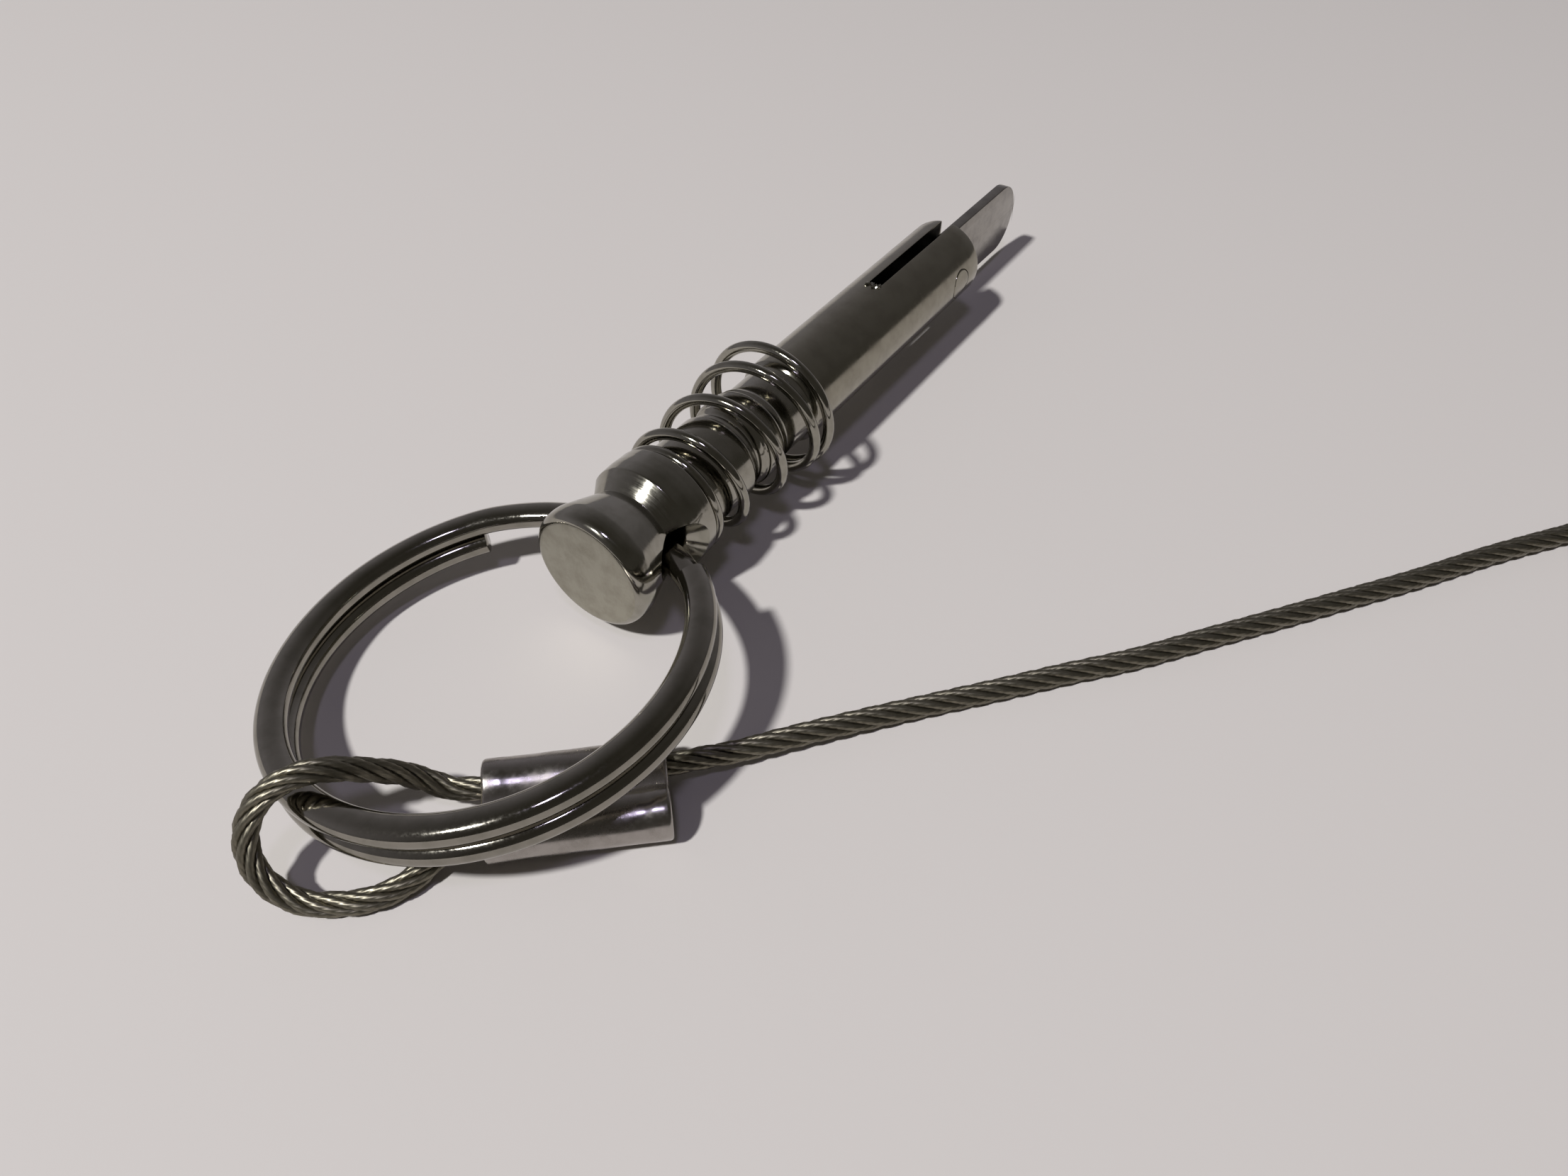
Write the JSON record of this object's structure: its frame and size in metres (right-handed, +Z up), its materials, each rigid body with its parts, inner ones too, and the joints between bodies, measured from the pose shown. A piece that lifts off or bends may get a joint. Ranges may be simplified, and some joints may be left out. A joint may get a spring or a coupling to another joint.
{
  "type": "quick release pin",
  "caption": "Turned steel drop-nose locking pin with a pivoting end blade, conical spring, split key ring and a short wire rope lanyard.",
  "frame": {"origin": "on the pin's axis, where the plain shank starts", "axes": "+X along the pin towards its nose, +Z up from the surface it lies on"},
  "size_m": [0.0805, 0.105, 0.01],
  "materials": {
    "turned_steel": "turned and polished stainless steel",
    "blade_steel": "stamped and tumbled stainless steel",
    "rivet_steel": "ground flush stainless steel",
    "spring_wire": "drawn stainless spring wire",
    "ring_wire": "bright polished stainless wire",
    "ferrule_metal": "crimped bright sleeve",
    "wire_rope": "stranded stainless wire"
  },
  "bodies": {
    "pin": {"pin_body": "turned_steel", "blade_rivet": "rivet_steel", "spring": "spring_wire"},
    "blade": {"nose_blade": "blade_steel"},
    "ring": {"split_ring": "ring_wire", "near_ferrule": "ferrule_metal", "rope_line": "wire_rope", "rope_coil": "wire_rope", "rope_end": "wire_rope", "far_ferrule": "ferrule_metal"}
  },
  "joints": [
    {"name": "blade_pivot", "type": "hinge", "parent": "pin", "child": "blade", "pos_m": [0.021, 0, 0], "axis": [0, 1, 0], "range_deg": [-90, 90]},
    {"name": "ring_swing", "type": "hinge", "parent": "pin", "child": "ring", "pos_m": [-0.016, 0, 0], "axis": [0, 1, 0], "range_deg": [-120, 150]}
  ]
}
